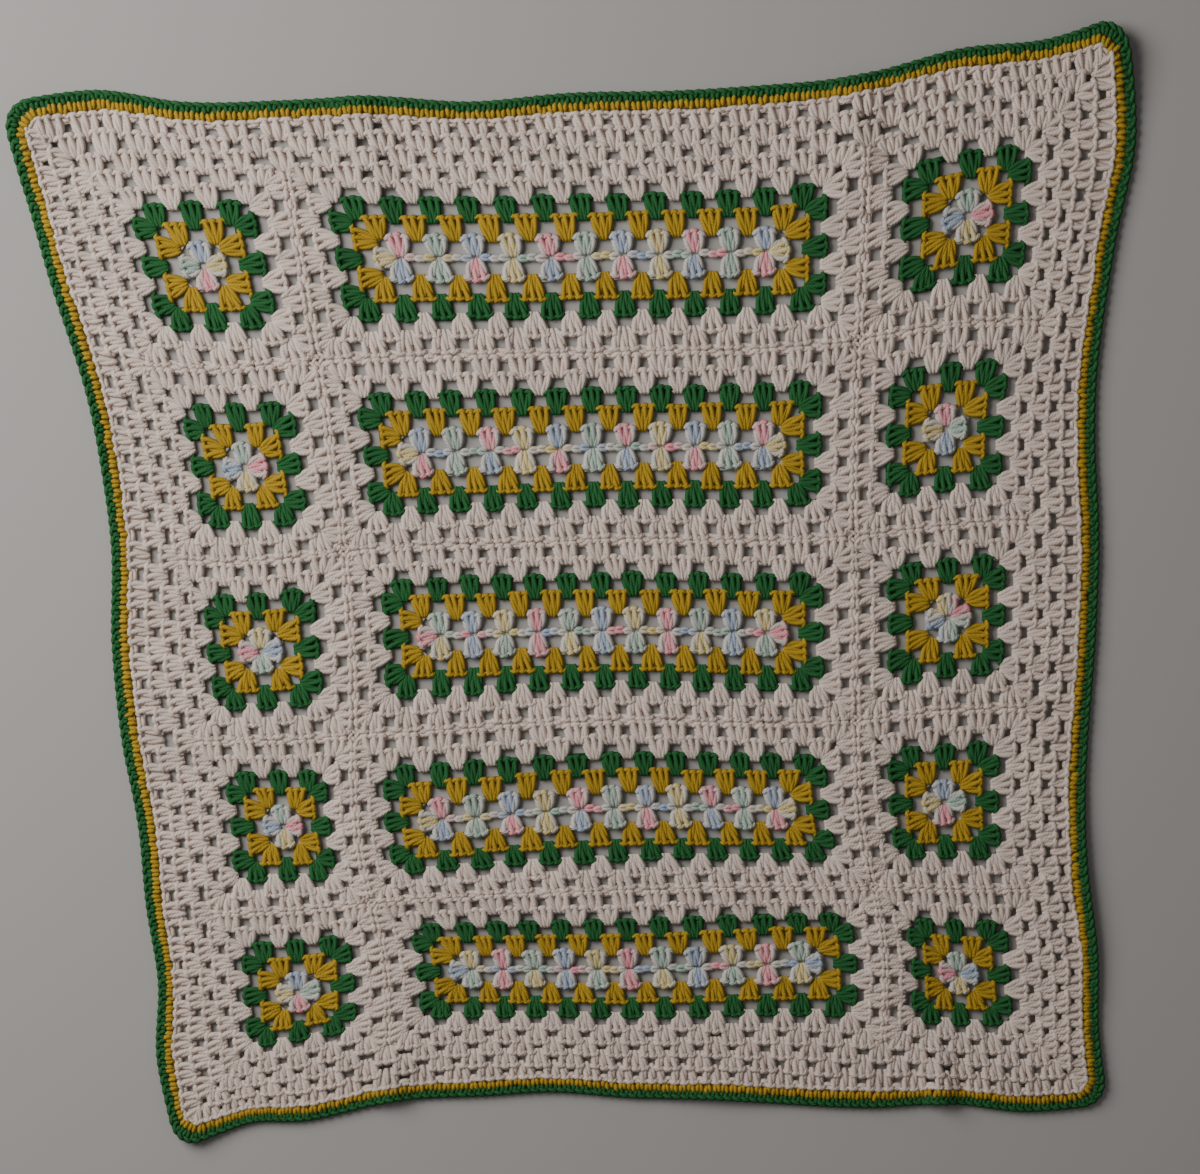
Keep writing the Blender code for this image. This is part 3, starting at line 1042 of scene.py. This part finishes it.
@dataclass(frozen=True)
class Ring:
    """A loop round the joined panels, with rounded corners."""

    out: float  # how far past the panels it lies
    aim: float = 0.12  # how far each way the direction along it is taken over

    def loop(self, step: float = SIDE_STEP, corner_steps: int = CORNER_STEPS) -> np.ndarray:
        """Chart points round the ring.

        Args:
            step: Greatest distance between two points of a straight side.
            corner_steps: How many steps a rounded corner has.

        Returns:
            The points, counter-clockwise.
        """
        half_u, half_v = EDGE[0] + self.out, EDGE[1] + self.out
        radius = max(self.out, 0.0) * CORNER_SHARE
        if radius < SHARP:
            return box_loop((0.0, 0.0), half_u, half_v, step)
        loop = []
        corners = ((1, -1, -90), (1, 1, 0), (-1, 1, 90), (-1, -1, 180))
        for sign_u, sign_v, start in corners:
            middle = np.array((sign_u * (half_u - radius), sign_v * (half_v - radius)))
            for number in range(corner_steps + 1):
                angle = np.radians(start + 90 * number / corner_steps)
                loop.append(middle + radius * np.array((np.cos(angle), np.sin(angle))))
        dense = []
        for start, end in zip(loop, loop[1:] + loop[:1]):
            count = max(1, int(np.ceil(np.linalg.norm(end - start) / step)))
            dense += [start + (end - start) * i / count for i in range(count)]
        return np.array(dense)

    def stations(self, count: int, shift: float = 0.0) -> tuple[np.ndarray, np.ndarray, np.ndarray]:
        """Even places round the ring.

        Args:
            count: How many.
            shift: Share of a step that they are moved on by.

        Returns:
            The chart points, the unit vectors on along the ring and those out of it.
        """
        loop = self.loop(FINE_STEP, FINE_CORNER)
        closed = np.vstack((loop, loop[:1]))
        steps = np.linalg.norm(np.diff(closed, axis=0), axis=1)
        length = np.concatenate(((0.0,), np.cumsum(steps)))
        wanted = (np.arange(count) + shift) / count * length[-1]

        def at(distance: np.ndarray) -> np.ndarray:
            """Chart points at distances round the ring."""
            turn = distance % length[-1]
            return np.stack([np.interp(turn, length, closed[:, axis]) for axis in (0, 1)], axis=1)

        along = unit(at(wanted + self.aim) - at(wanted - self.aim))
        return at(wanted), along, np.stack((along[:, 1], -along[:, 0]), axis=1)


PANEL_ROUNDS = (
    # yarn, width of a group at its foot and its head, poke, bulge, fat, crown, shift
    Round(Slot.PASTEL, 0.23, 0.62, 0.0, 0.10, 1.16, 0.055, 0.0),
    Round(Slot.GOLD, 0.20, 0.69, 0.22, 0.03, 1.0, 0.0, 0.02),
    Round(Slot.GREEN, 0.20, 0.66, 0.22, 0.08, 1.0, 0.035, 0.02),
    Round(Slot.WHITE, 0.22, 0.75, 0.22, 0.06, 1.16, 0.02, 0.04),
    Round(Slot.WHITE, 0.32, 0.79, 0.24, 0.12, 1.22, 0.02, 0.06),
)
BORDER_ROUNDS = (
    # the same sizes
    Round(Slot.WHITE, 0.32, 0.80, 0.24, 0.12, 1.22, 0.02, 0.06),
    Round(Slot.WHITE, 0.34, 0.80, 0.24, 0.12, 1.22, 0.02, 0.06),
    Round(Slot.WHITE, 0.54, 0.88, 0.24, 0.09, 1.12, 0.01, 0.04),
)
RING_FOOT, CHAIN_FOOT = 0.10, 0.05  # from a panel's middle or its first chain to the first round's feet
RUN_STEP = 0.25  # how much of the dyed yarn's cycle one group of the first round takes
PANEL_DROP, BORDER_DROP = 0.02, 0.09  # how far the last round's chain hangs under its heads
EDGING_POKE = 0.30  # how far the first edging reaches under the last round's tops
CORNER_IN = 0.14  # how far a corner group's foot lies inside the round below
CORNER_SPLIT = 0.08  # how far it stands off the diagonal
CORNER_LEAN = 0.05  # how far its head leans towards the corner

# Spaces that the border's first round is worked into, as places along its sides
END_SPACES = (-12.75, -11.8, -10.8, -9.8, -8.8, -7.65)  # over a left square, and mirrored over a right one
COURSE_SPACES = (1.5, 0.5, -0.5, -1.5)  # beside a square, from its middle
SIDE_END = 13.05  # the last space of the left and right sides


@dataclass
class Piece:
    """One maker's piece of the blanket: a web and the yarn worked on it."""

    name: str
    chart: Chart
    finishes: list[bpy.types.Material]
    seed: int

    def work(
        self, rounds: list[Groups], strands: Strands, rng: np.random.Generator, drop: float
    ) -> list[np.ndarray]:
        """Works rounds of groups, and the chain between the groups of the last round.

        Args:
            rounds: The rounds, from the inside out.
            strands: Strands of the piece, which the stitches are added to.
            rng: Source of small differences.
            drop: How far the chain hangs, in repeats.

        Returns:
            The outline of each gap between the groups.
        """
        stitch = DoubleCrochet(self.chart.repeat)
        for groups in rounds:
            stitch.work(groups, strands, rng)
        stitch.links(rounds[-1], strands, rng, drop)
        return [gap for groups in rounds for gap in groups.gaps()]

    def stand_in(self, web: bpy.types.Object, work: bpy.types.Object, slot: str) -> None:
        """Puts a web and its yarn in the place of their node.

        Args:
            web: The thin sheet.
            work: The yarn on it.
            slot: Not used.
        """
        for shown in (web, work):
            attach(shown, "root")
            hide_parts(self.name)


@dataclass(frozen=True)
class FirstChain:
    """Sizes of the chain that a rectangle begins with, each link two strands.

    Radii and heights are in millimetres, and what lies along or across the chain is in repeats.
    """

    links: int = 3  # between one petal and the next
    first: float = 0.13  # from a petal to the first of them
    step: float = 0.245  # from one link to the next
    lap: float = 1.45  # length of a link against that step
    shares: tuple[float, ...] = (0.0, 0.3, 0.7, 1.0)
    bows: tuple[float, ...] = (0.000, 0.048, 0.056, 0.012)  # from the chain's line to a strand
    heights: tuple[float, ...] = (3.3, 3.6, 2.9, 2.1)
    radii: tuple[float, ...] = (1.1, 1.65, 1.65, 1.1)
    tilt: float = 0.15  # how much higher the strand further up lies than the middle of the two
    sway: float = 0.018  # how far the links lie to one side and the other in turn
    stray: float = 0.008
    run_step: float = 0.075  # how much of the dyed yarn's cycle one link takes
    dark: float = 0.6  # how much darker a link may be


@dataclass(frozen=True)
class Join:
    """Sizes of one joining stitch, which slants across the seam between two panels.

    Radii and heights are in millimetres, and what lies along or across the seam is in repeats.
    """

    pitch: float = 0.20  # from one stitch to the next
    slips: tuple[float, ...] = (-0.075, -0.030, 0.030, 0.075)  # along the seam
    offs: tuple[float, ...] = (-0.095, -0.040, 0.040, 0.095)  # across it
    heights: tuple[float, ...] = (2.6, 3.6, 3.6, 2.6)
    radii: tuple[float, ...] = (1.0, 1.5, 1.5, 1.0)
    height_stray: float = 0.15
    dark: float = 0.7  # how much darker a stitch may be


@dataclass
class Panel(Piece):
    """A granny square, or a granny rectangle where long is over 0."""

    middle: tuple[float, float]
    long: float
    run: float  # place on the dyed yarn where the first round begins
    run_way: int  # 1 or -1, which way the dyed yarn runs round the panel

    def rounds(self) -> list[Groups]:
        """The five rounds of groups, from the middle out."""
        made = []
        for number, style in enumerate(PANEL_ROUNDS, 1):
            next_poke = (*PANEL_ROUNDS, *BORDER_ROUNDS)[number].poke
            groups = Groups(style, next_poke, self.run, RUN_STEP * self.run_way)
            for side in Side:
                self.add_side(groups, number, side)
            made.append(groups)
        return made

    def add_side(self, groups: Groups, number: int, side: Side) -> None:
        """Adds the groups of one side of a round.

        Args:
            groups: The round, which they are added to.
            number: Which round, from 1.
            side: Which side.
        """
        style = groups.style
        extra_along, extra_out = (self.long, 0.0) if side.level else (0.0, self.long)
        count = number + int(2 * extra_along)
        top = ROUND_TOPS[number - 1]
        below = ROUND_TOPS[number - 2] if number > 1 else 0.0
        for i in range(count):
            along = i - (count - 1) / 2
            foot_along, foot_out = along + style.shift, below - style.poke
            corner = number > 1 and i in (0, count - 1)
            if number == 1:
                foot_out = CHAIN_FOOT if self.long and side.level else RING_FOOT
            if corner:
                hand = 1 if along > 0 else -1
                foot_out = below - CORNER_IN
                foot_along = hand * (foot_out - CORNER_SPLIT + extra_along)
                along += hand * CORNER_LEAN
            foot = side.place(foot_along, foot_out + extra_out, self.middle)
            head = side.place(along, top + extra_out, self.middle)
            groups.add(foot, head, side, CORNER_IN if corner else style.poke)

    def chain(self, strands: Strands, rng: np.random.Generator) -> None:
        """Adds the first chain, whose links show between the petals along a rectangle's middle.

        Args:
            strands: Strands of the piece.
            rng: Source of small differences.
        """
        sizes = FirstChain()
        count = sizes.links * int(2 * self.long)
        number = np.arange(count)
        start = -self.long + number // sizes.links + sizes.first + sizes.step * (number % sizes.links)
        sway = sizes.sway * np.cos(np.pi * number)
        share = np.array(sizes.shares)
        for hand in (-1, 1):
            line = np.zeros((count, len(share), 3))
            line[:, :, 0] = self.middle[0] + start[:, None] + share * sizes.step * sizes.lap
            off = (sway + rng.normal(0, sizes.stray, count))[:, None]
            line[:, :, 1] = self.middle[1] + hand * np.array(sizes.bows) + off
            line[:, :, 2] = np.array(sizes.heights) + sizes.tilt * hand
            run = self.run + sizes.run_step * number[:, None]
            shade = 1 - rng.random(count)[:, None] * sizes.dark
            strands.add(line, np.array(sizes.radii), Slot.PASTEL, run, shade)

    def seam(self, strands: Strands, rng: np.random.Generator) -> None:
        """Adds the joining stitches over the right and lower edges, where another panel follows.

        Args:
            strands: Strands of the piece.
            rng: Source of small differences.
        """
        sizes = Join()
        for side in (Side.RIGHT, Side.BOTTOM):
            half, out = (HALF + self.long, HALF) if side.level else (HALF, HALF + self.long)
            edge = side.place(0.0, out, self.middle)
            if abs(edge[0]) > EDGE[0] - SEAM or abs(edge[1]) > EDGE[1] - SEAM:
                continue
            count = int(2 * half / sizes.pitch)
            along = (np.arange(count) + 0.5) / count * 2 * half - half
            line = np.zeros((count, len(sizes.slips), 3))
            for ring, (slip, off) in enumerate(zip(sizes.slips, sizes.offs)):
                for number, place in enumerate(along):
                    line[number, ring, :2] = side.place(place + slip, out + off, self.middle)
            line[:, :, 2] = np.array(sizes.heights) + rng.normal(0, sizes.height_stray, count)[:, None]
            shade = 1 - rng.random(count)[:, None] * sizes.dark
            strands.add(line, np.array(sizes.radii), Slot.WHITE, 0.0, shade)

    def slots_of(self, places: np.ndarray) -> np.ndarray:
        """Yarn slot of the web at chart points.

        Args:
            places: One chart point a row.

        Returns:
            The slot number of each.
        """
        du = np.abs(places[:, 0] - self.middle[0]) - self.long
        dv = np.abs(places[:, 1] - self.middle[1])
        number = np.searchsorted(np.array(ROUND_TOPS), np.maximum(du, dv))
        kinds = np.array([style.slot.value for style in PANEL_ROUNDS])
        return kinds[np.clip(number, 0, len(kinds) - 1)]

    def build(self) -> None:
        """Makes the panel's web and yarn and puts them in the place of its node."""
        rng = np.random.default_rng(self.seed)
        strands = Strands(self.chart, self.seed)
        gaps = self.work(self.rounds(), strands, rng, PANEL_DROP)
        if self.long:
            self.chain(strands, rng)
        self.seam(strands, rng)
        half = HALF - SEAM
        outline = box_loop(self.middle, half + self.long, half)
        lines = [box_loop(self.middle, top + self.long, top) for top in YARN_TOPS]
        web = Web().build(
            self.name + "_web", self.chart, [outline], lines, gaps, self.finishes, self.slots_of
        )
        work = strands.build(self.name + "_stitches", self.finishes)
        u0, v0 = self.middle
        half_u = HALF + self.long
        flat = (
            self.chart.length((u0 - half_u, v0), (u0 + half_u, v0)),
            self.chart.length((u0, v0 - HALF), (u0, v0 + HALF)),
        )
        self.stand_in(web, work, "white_yarn")
        log.info("%s: %.0f by %.0f mm, %d gaps", self.name, flat[0] / MM, flat[1] / MM, len(gaps))


@dataclass
class Border(Piece):
    """The three white rounds worked round the joined panels, and the edgings worked on them."""

    edgings: list["Edging"] = field(default_factory=list)

    def first_places(self, side: Side) -> list[float]:
        """Places along a side of the spaces that the first round is worked into."""
        if side.level:
            count = len(PANEL_ROUNDS) + int(2 * LONG) - 1
            middle = [i - (count - 1) / 2 for i in range(count)]
            return [*END_SPACES, *middle, *(-place for place in reversed(END_SPACES))]
        spaces = [v0 + off for v0 in COURSES for off in COURSE_SPACES]
        joins = [v0 - HALF for v0 in COURSES[:-1]]
        return sorted([-SIDE_END, *spaces, *joins, SIDE_END])

    def rounds(self) -> list[Groups]:
        """The rounds of groups, from the panels out."""
        made = []
        lists = {side: self.first_places(side) for side in Side}
        pokes = [style.poke for style in BORDER_ROUNDS[1:]] + [EDGING_POKE]
        for number, style in enumerate(BORDER_ROUNDS):
            groups = Groups(style, pokes[number])
            for side in Side:
                places = lists[side]
                self.add_side(groups, number, side, places)
                between = [(a + b) / 2 for a, b in zip(places, places[1:])]
                lists[side] = [places[0] - BORDER_STEP, *between, places[-1] + BORDER_STEP]
            made.append(groups)
        return made

    def add_side(self, groups: Groups, number: int, side: Side, places: list[float]) -> None:
        """Adds the groups of one side of a round.

        Args:
            groups: The round, which they are added to.
            number: Which round, from 0.
            side: Which side.
            places: Place of each group along the side.
        """
        style = groups.style
        edge_along, edge_out = (EDGE[0], EDGE[1]) if side.level else (EDGE[1], EDGE[0])
        below, top = number * BORDER_STEP, (number + 1) * BORDER_STEP
        for i, along in enumerate(places):
            corner = i in (0, len(places) - 1)
            foot = (along + style.shift, edge_out + below - style.poke)
            if corner:
                hand = 1 if i else -1
                reach = edge_along + below - CORNER_IN - CORNER_SPLIT
                foot = (hand * reach, edge_out + below - CORNER_IN)
            head = side.place(along, edge_out + top, (0.0, 0.0))
            poke = CORNER_IN if corner else style.poke
            groups.add(side.place(*foot, (0.0, 0.0)), head, side, poke)

    def build(self) -> None:
        """Makes the border's web and yarn and puts them in the place of its node."""
        rng = np.random.default_rng(self.seed)
        strands = Strands(self.chart, self.seed)
        gaps = self.work(self.rounds(), strands, rng, BORDER_DROP)
        inner = box_loop((0.0, 0.0), EDGE[0] + SEAM, EDGE[1] + SEAM)
        outlines = [Ring(BORDER_OUT - SEAM).loop(), inner]
        web = Web().build(
            self.name + "_web", self.chart, outlines, [], gaps, self.finishes, all_of(Slot.WHITE)
        )
        work = strands.build(self.name + "_stitches", self.finishes)
        flat = strip(self.chart, 0.0, BORDER_OUT)
        self.stand_in(web, work, "white_yarn")
        trims = [piece for edging in self.edgings for piece in edging.build()]
        log.info("%s: %.0f by %.0f mm, %d gaps", self.name, flat[0] / MM, flat[1] / MM, len(gaps))


def all_of(slot: Slot) -> Callable[[np.ndarray], np.ndarray]:
    """What gives the slot of each place of a web that has only one yarn."""
    return lambda places: np.full(len(places), slot.value)


def strip(chart: Chart, inner: float, outer: float) -> tuple[float, float]:
    """Width and length in metres of a strip worked round the panels.

    Args:
        chart: The chart.
        inner: How far out the strip begins.
        outer: How far out it ends.

    Returns:
        Its width, and its length along its middle.
    """
    outs = (inner, (inner + outer) / 2, outer)
    loops = [chart.warp(Ring(out).loop(FINE_STEP, FINE_CORNER)) for out in outs]
    area = (spread(loops[2]) - spread(loops[0])) * MM * MM
    closed = np.vstack((loops[1], loops[1][:1]))
    length = float(np.linalg.norm(np.diff(closed, axis=0), axis=1).sum()) * MM
    return area / length, length


@dataclass(frozen=True)
class SingleCrochet:
    """Sizes of one single crochet, a V of two short strands, and of the loop of chain on it.

    Radii and heights are in millimetres, and what lies along or out of the work is in repeats.
    """

    # The V, ring by ring from its foot
    shares: tuple[float, ...] = (0.0, 0.35, 0.75, 1.0)
    radii: tuple[float, ...] = (1.0, 1.75, 1.8, 1.3)
    foot_spread: float = 0.034  # from its middle to a strand's foot
    top_spread: float = 0.046  # how much further from it the strand ends

    # The two strands of the loop, ring by ring
    loop_in: float = 0.085  # from the loop's line to the outer edge
    loop_steps: tuple[float, ...] = (-0.17, -0.06, 0.06, 0.15)  # along the edging
    loop_rises: tuple[tuple[float, ...], ...] = ((-0.085, -0.030, 0.020, 0.020), (-0.020, 0.005, 0.005, 0.0))
    loop_heights: tuple[tuple[float, ...], ...] = ((3.0, 4.1, 4.2, 3.0), (2.4, 2.3, 2.3, 2.5))
    loop_radii: tuple[float, ...] = (1.3, 1.75, 1.75, 1.2)

    # Small differences: a spread for each, and how much darker a stitch may be
    tilt_stray: float = 0.012
    rise_stray: float = 0.026
    height_stray: float = 0.1
    loop_stray: float = 0.12
    dark: float = 0.8


EDGING_STITCHES = 430
# the edgings' web has a light painted shade, a little darker than any of their stitches
EDGING_WEB = Web(high=3.2, shades=(0.0,) * len(Slot))


@dataclass
class Edging(Piece):
    """A narrow round of single crochets, with or without its chain."""

    slot: Slot
    inner: float
    outer: float
    poke: float  # how far a stitch's foot reaches under the round below
    top: float  # how far out a stitch ends
    heights: tuple[float, ...]  # of a stitch in millimetres, ring by ring from its foot
    rim: float  # from the web to the outer edge
    chained: bool

    def stitches(self, strands: Strands, rng: np.random.Generator) -> None:
        """Adds the single crochets.

        Args:
            strands: Strands of the piece.
            rng: Source of small differences.
        """
        sizes, count = SingleCrochet(), EDGING_STITCHES
        middle = (self.inner + self.outer) / 2
        places, along, out = Ring(middle).stations(count)
        low, high = self.inner - middle - self.poke, self.top - middle
        share = np.array(sizes.shares)
        tilt = rng.normal(0, sizes.tilt_stray, count)
        shade = 1 - rng.random(count) * sizes.dark
        for hand in (-1, 1):
            spreads = hand * (sizes.foot_spread + sizes.top_spread * share) + tilt[:, None] * share
            rises = low + (high - low) * share + rng.normal(0, sizes.rise_stray, count)[:, None]
            line = np.zeros((count, len(share), 3))
            line[:, :, :2] = places[:, None] + along[:, None] * spreads[:, :, None]
            line[:, :, :2] += out[:, None] * rises[:, :, None]
            line[:, :, 2] = np.array(self.heights) + rng.normal(0, sizes.height_stray, count)[:, None]
            strands.add(line, np.array(sizes.radii), self.slot, 0.0, shade[:, None])

    def loops(self, strands: Strands, rng: np.random.Generator) -> None:
        """Adds the chain of loops along the outer edge, each between two stitches.

        Args:
            strands: Strands of the piece.
            rng: Source of small differences.
        """
        sizes, count = SingleCrochet(), EDGING_STITCHES
        places, along, out = Ring(self.outer - sizes.loop_in).stations(count, 0.5)
        steps = np.array(sizes.loop_steps)
        shade = 1 - rng.random(count) * sizes.dark
        for rises, heights in zip(sizes.loop_rises, sizes.loop_heights):
            line = np.zeros((count, len(steps), 3))
            line[:, :, :2] = places[:, None] + along[:, None] * steps[None, :, None]
            line[:, :, :2] += out[:, None] * np.array(rises)[None, :, None]
            line[:, :, 2] = np.array(heights) + rng.normal(0, sizes.loop_stray, count)[:, None]
            strands.add(line, np.array(sizes.loop_radii), self.slot, 0.0, shade[:, None])

    def build(self) -> list[bpy.types.Object]:
        """Makes the edging's web and yarn and puts them in the place of its node.

        Returns:
            The web and the yarn.
        """
        rng = np.random.default_rng(self.seed)
        strands = Strands(self.chart, self.seed)
        self.stitches(strands, rng)
        if self.chained:
            self.loops(strands, rng)
        outlines = [Ring(self.outer - self.rim).loop(), Ring(self.inner + SEAM).loop()]
        web = EDGING_WEB.build(
            self.name + "_web", self.chart, outlines, [], [], self.finishes, all_of(self.slot)
        )
        work = strands.build(self.name + "_stitches", self.finishes)
        flat = strip(self.chart, self.inner, self.outer)
        self.stand_in(web, work, self.slot.name.lower() + "_yarn")
        log.info("%s: %.0f by %.0f mm, %d stitches", self.name, flat[0] / MM, flat[1] / MM, EDGING_STITCHES)
        return [web, work]


@dataclass(frozen=True)
class Studio:
    """The plain floor, the soft lights and the camera straight above. Sizes are in metres."""

    view_width: float = 0.840  # what the camera sees across at the cloth's level
    cloth_level: float = 0.003
    centre: tuple[float, float] = (0.01975, -0.00335)
    height: float = 2.6
    sensor: float = 36.0  # width of the camera's sensor in millimetres
    floor_half: float = 6.0
    floor_colour: tuple[float, float, float] = (0.36, 0.3546, 0.3474)
    floor_roughness: float = 0.9
    sky_colour: tuple[float, float, float] = (1.0, 0.97, 0.94)
    sky_strength: float = 0.14
    lamp_colour: tuple[float, float, float] = (1.0, 0.96, 0.92)

    def floor(self) -> None:
        """Lays the pale floor."""
        mesh = bmesh.new()
        bmesh.ops.create_grid(mesh, x_segments=1, y_segments=1, size=self.floor_half)
        data = bpy.data.meshes.new("floor")
        mesh.to_mesh(data)
        mesh.free()
        piece = bpy.data.objects.new("floor", data)
        bpy.context.scene.collection.objects.link(piece)
        material = bpy.data.materials.new("floor")
        material.use_nodes = True
        shader = material.node_tree.nodes["Principled BSDF"]
        shader.inputs["Base Color"].default_value = (*self.floor_colour, 1.0)
        shader.inputs["Roughness"].default_value = self.floor_roughness
        data.materials.append(material)

    def lights(self) -> None:
        """Hangs the soft lights."""
        world = bpy.data.worlds.new("studio")
        world.use_nodes = True
        ground = world.node_tree.nodes["Background"]
        ground.inputs["Color"].default_value = (*self.sky_colour, 1.0)
        ground.inputs["Strength"].default_value = self.sky_strength
        bpy.context.scene.world = world
        lamps = (
            # name, place, size, power
            ("key_light", (-1.1, 0.6, 1.1), 1.2, 34.0),
            ("fill_light", (1.6, -1.2, 2.4), 2.0, 2.0),
        )
        for name, place, size, power in lamps:
            light = bpy.data.lights.new(name, "AREA")
            light.size = size
            light.energy = power
            light.color = self.lamp_colour
            lamp = bpy.data.objects.new(name, light)
            lamp.location = place
            lamp.rotation_euler = (-Vector(place)).to_track_quat("-Z", "Y").to_euler()
            bpy.context.scene.collection.objects.link(lamp)

    def camera(self) -> None:
        """Sets the camera straight above."""
        data = bpy.data.cameras.new("camera")
        data.sensor_width = self.sensor
        data.sensor_fit = "HORIZONTAL"
        data.lens = self.sensor * (self.height - self.cloth_level) / self.view_width
        camera = bpy.data.objects.new("camera", data)
        camera.location = (*self.centre, self.height)
        bpy.context.scene.collection.objects.link(camera)
        bpy.context.scene.camera = camera


WHITE = (0.74, 0.63, 0.565)
GOLD = (0.44, 0.285, 0.024)
GREEN = (0.020, 0.126, 0.037)

# The dyed yarn: the white between its lengths of colour, and the lengths
PALE = (0.62, 0.60, 0.56)
PINK = (0.84, 0.32, 0.385)
YELLOW = (0.68, 0.56, 0.25)
BLUE = (0.34, 0.43, 0.58)
MINT = (0.36, 0.50, 0.43)

RUNS = (
    # left square: start and way of the dyed yarn, then the same for the rectangle and the right square
    (0.70, -1, 0.20, -1, 0.80, 1),
    (0.80, 1, 0.55, 1, 0.20, -1),
    (0.30, 1, 0.95, -1, 0.37, -1),
    (0.80, 1, 0.20, -1, 0.55, 1),
    (0.55, 1, 0.45, -1, 0.95, -1),
)


def main() -> None:
    """Builds the blanket piece by piece and the studio round it."""
    logging.basicConfig(level=logging.INFO, format="%(name)s: %(message)s", stream=sys.stdout)
    chart = Chart()
    finishes = [
        Yarn("white_yarn", WHITE).material(),
        Yarn("gold_yarn", GOLD).material(),
        Yarn("green_yarn", GREEN).material(),
        PastelYarn("pastel_yarn", PALE, lengths=(PINK, YELLOW, BLUE, MINT)).material(),
    ]
    for course, (v0, runs) in enumerate(zip(COURSES, RUNS), 1):
        panels = (
            (f"square_left_{course}", COLUMNS[0], 0.0, runs[:2]),
            (f"rectangle_{course}", COLUMNS[1], LONG, runs[2:4]),
            (f"square_right_{course}", COLUMNS[2], 0.0, runs[4:]),
        )
        for number, (name, u0, long, (run, way)) in enumerate(panels):
            Panel(name, chart, finishes, 10 * course + number, (u0, v0), long, run, way).build()
    gold = Edging(
        "edging_gold",
        chart,
        finishes,
        seed=102,
        slot=Slot.GOLD,
        inner=BORDER_OUT,
        outer=GOLD_OUT,
        poke=0.035,
        top=GOLD_OUT + 0.06,
        heights=(3.2, 4.9, 3.9, 2.2),
        rim=SEAM,
        chained=False,
    )
    green = Edging(
        "edging_green",
        chart,
        finishes,
        seed=103,
        slot=Slot.GREEN,
        inner=GOLD_OUT,
        outer=GREEN_OUT,
        poke=0.01,
        top=GOLD_OUT + 0.21,
        heights=(2.8, 3.9, 3.6, 2.5),
        rim=0.04,
        chained=True,
    )
    Border("border", chart, finishes, seed=101, edgings=[gold, green]).build()
    studio = Studio()
    studio.floor()
    studio.lights()
    studio.camera()


if __name__ == "__main__":
    main()
